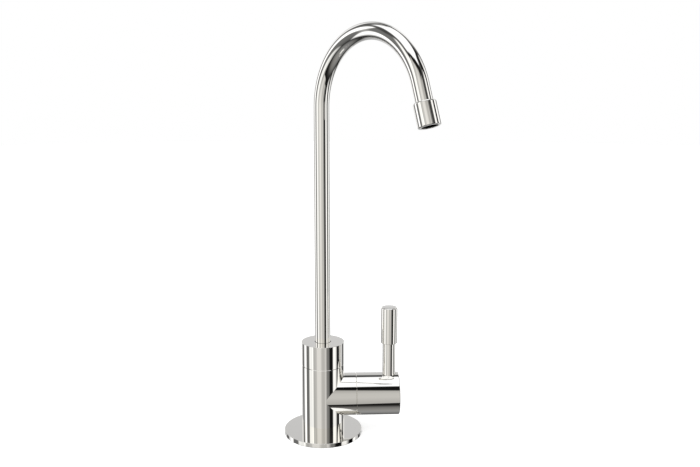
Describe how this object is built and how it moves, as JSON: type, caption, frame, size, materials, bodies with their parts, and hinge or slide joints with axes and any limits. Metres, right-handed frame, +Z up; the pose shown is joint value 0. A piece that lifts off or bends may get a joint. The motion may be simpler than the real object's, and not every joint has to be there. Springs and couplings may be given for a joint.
{
  "type": "drinking water faucet",
  "caption": "Slim gooseneck faucet for filtered drinking water, with a swivelling spout, a side arm and a quarter-turn lever handle, on a round flange and threaded shank.",
  "frame": {"origin": "centre of the underside of the base flange, on the deck's top face, on the axis of the body and of the spout's turn", "axes": "+Z up along the body's axis, +X out along the side arm and the handle hub, -Y toward the user, who faces the side where the outlet is parked"},
  "size_m": [0.084, 0.0984, 0.3078],
  "materials": {
    "polished_nickel": "mirror-polished nickel plate over brass, slightly warm",
    "turned_brass": "machined, bright",
    "stainless": "stainless, pressed or turned",
    "black_rubber": "moulded, black, matt",
    "white_nylon": "natural white nylon",
    "ceramic": "lapped white alumina ceramic"
  },
  "bodies": {
    "base": {"base_flange": "polished_nickel", "base_gasket": "black_rubber", "valve_body": "polished_nickel", "threaded_shank": "turned_brass", "shank_seal": "black_rubber", "deck_washer": "black_rubber", "clamp_washer": "stainless", "lock_washer": "stainless", "mounting_nut": "turned_brass", "inlet_ferrule": "white_nylon", "inlet_nut": "turned_brass", "seat_seal": "black_rubber", "fixed_disc": "ceramic", "cartridge_body": "turned_brass", "gland_nut": "turned_brass", "handle_glide_ring": "white_nylon", "swivel_washer": "white_nylon", "neck_o_rings": "black_rubber"},
    "handle": {"moving_disc": "ceramic", "cartridge_stem": "turned_brass", "stem_o_rings": "black_rubber", "stem_clip": "stainless", "thrust_washer": "white_nylon", "handle_hub": "polished_nickel", "handle_set_screw": "stainless", "lever_stem": "polished_nickel", "lever_grip": "polished_nickel"},
    "spout": {"spout_hub": "polished_nickel", "spout_set_screw": "stainless", "spout_tube": "polished_nickel", "outlet_sleeve": "polished_nickel", "outlet_gasket": "black_rubber", "flow_straightener": "black_rubber"}
  },
  "joints": [
    {"name": "spout_swivel", "type": "hinge", "parent": "base", "child": "spout", "pos_m": [0, 0, 0.05], "axis": [0, 0, 1], "continuous": true},
    {"name": "handle_turn", "type": "hinge", "parent": "base", "child": "handle", "pos_m": [0.03, 0, 0.0248], "axis": [1, 0, 0], "range_deg": [0, 90]}
  ]
}
